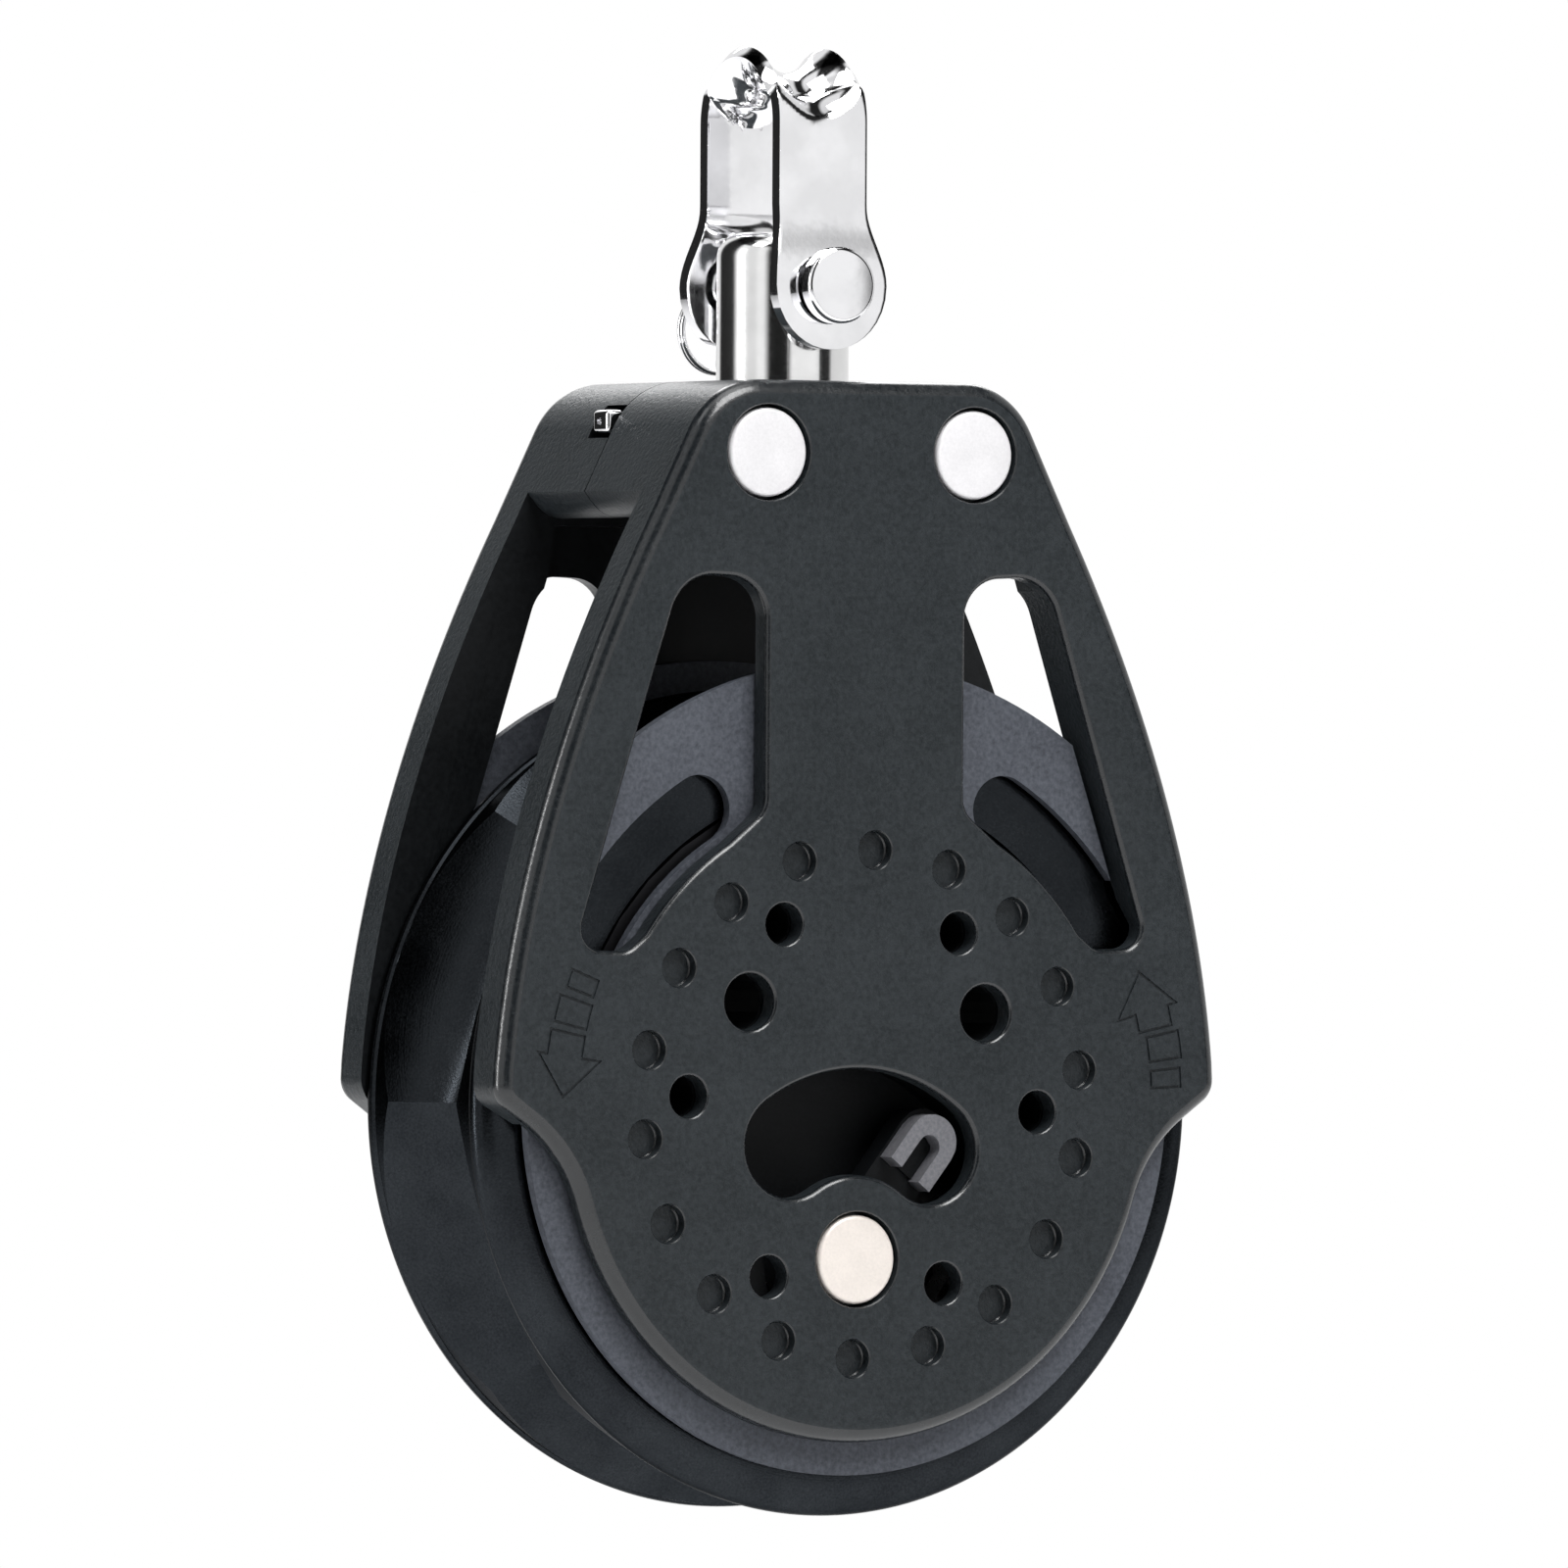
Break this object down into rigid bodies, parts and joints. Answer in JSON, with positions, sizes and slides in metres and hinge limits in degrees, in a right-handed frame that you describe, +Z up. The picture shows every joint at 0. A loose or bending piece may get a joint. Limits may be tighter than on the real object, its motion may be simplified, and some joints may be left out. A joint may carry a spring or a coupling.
{
  "type": "ratchet block",
  "caption": "Swivelling single-sheave ratchet block: eight-sided grooved sheave on a ball bearing, pawl switch, riveted cheeks, headpost, shackle and clevis pin.",
  "frame": {"origin": "the inner crest of the shackle's bow, the point that bears on what holds the block", "axes": "+Z up along the swivel axis from the sheave to the shackle, +Y along the sheave's axis away from the switch, +X to the right as seen from the switch side"},
  "size_m": [0.0574, 0.0234, 0.1016],
  "materials": {
    "black_plastic": "matt glass-filled moulding with a fine moulded grain",
    "liner_plastic": "matt dark grey with a faint violet cast",
    "anodised": "satin black hard anodised",
    "acetal": "satin natural",
    "switch_plastic": "satin dark grey moulding",
    "polished_steel": "mirror-polished stainless steel",
    "satin_steel": "satin stainless steel",
    "spring_steel": "drawn spring wire"
  },
  "bodies": {
    "shackle": {"shackle": "polished_steel", "clevis_pin": "polished_steel"},
    "split_ring": {"split_ring": "polished_steel"},
    "headpost": {"headpost": "polished_steel"},
    "block": {"front_cheek": "black_plastic", "rear_cheek": "black_plastic", "front_liner": "liner_plastic", "rear_liner": "liner_plastic", "hub_core": "black_plastic", "pawl_pin": "satin_steel", "pawl_spring": "spring_steel", "detent_spring": "spring_steel", "lower_rivet": "satin_steel", "top_rivet_left": "satin_steel", "top_rivet_right": "satin_steel", "upper_washer": "acetal", "lower_washer": "acetal", "swivel_lock_clip": "polished_steel"},
    "sheave": {"sheave": "anodised", "ratchet_ring": "satin_steel"},
    "ball_set": {"bearing_ball_01": "acetal", "bearing_ball_02": "acetal", "bearing_ball_03": "acetal", "bearing_ball_04": "acetal", "bearing_ball_05": "acetal", "bearing_ball_06": "acetal", "bearing_ball_07": "acetal", "bearing_ball_08": "acetal", "bearing_ball_09": "acetal", "bearing_ball_10": "acetal", "bearing_ball_11": "acetal", "bearing_ball_12": "acetal", "bearing_ball_13": "acetal", "bearing_ball_14": "acetal"},
    "switch_lever": {"switch_lever": "switch_plastic"},
    "pawl": {"pawl": "satin_steel"}
  },
  "joints": [
    {"name": "shackle_pivot", "type": "hinge", "parent": "shackle", "child": "headpost", "pos_m": [0, 0, -0.0139], "axis": [0, 1, 0], "range_deg": [-90, 90]},
    {"name": "swivel", "type": "hinge", "parent": "headpost", "child": "block", "pos_m": [0, 0, -0.0249], "axis": [0, 0, 1], "continuous": true},
    {"name": "sheave_spin", "type": "hinge", "parent": "block", "child": "sheave", "pos_m": [0, 0, -0.0703], "axis": [0, 1, 0], "continuous": true},
    {"name": "ball_orbit", "type": "hinge", "parent": "block", "child": "ball_set", "pos_m": [0, 0, -0.0703], "axis": [0, 1, 0], "continuous": true},
    {"name": "switch_throw", "type": "hinge", "parent": "block", "child": "switch_lever", "pos_m": [-0.00048, 0, -0.08097], "axis": [0, 1, 0], "range_deg": [-72, 0]},
    {"name": "pawl_swing", "type": "hinge", "parent": "block", "child": "pawl", "pos_m": [0.01054, 0, -0.07839], "axis": [0, 1, 0], "range_deg": [0, 12.3]},
    {"name": "ring_swing", "type": "hinge", "parent": "shackle", "child": "split_ring", "pos_m": [0, 0.0089, -0.0139], "axis": [1, 0, 0], "range_deg": [0, 80]}
  ],
  "couplings": [
    {"joint": "ball_orbit", "follows": "sheave_spin", "ratio": 0.543},
    {"joint": "pawl_swing", "follows": "switch_throw", "ratio": -0.17}
  ]
}
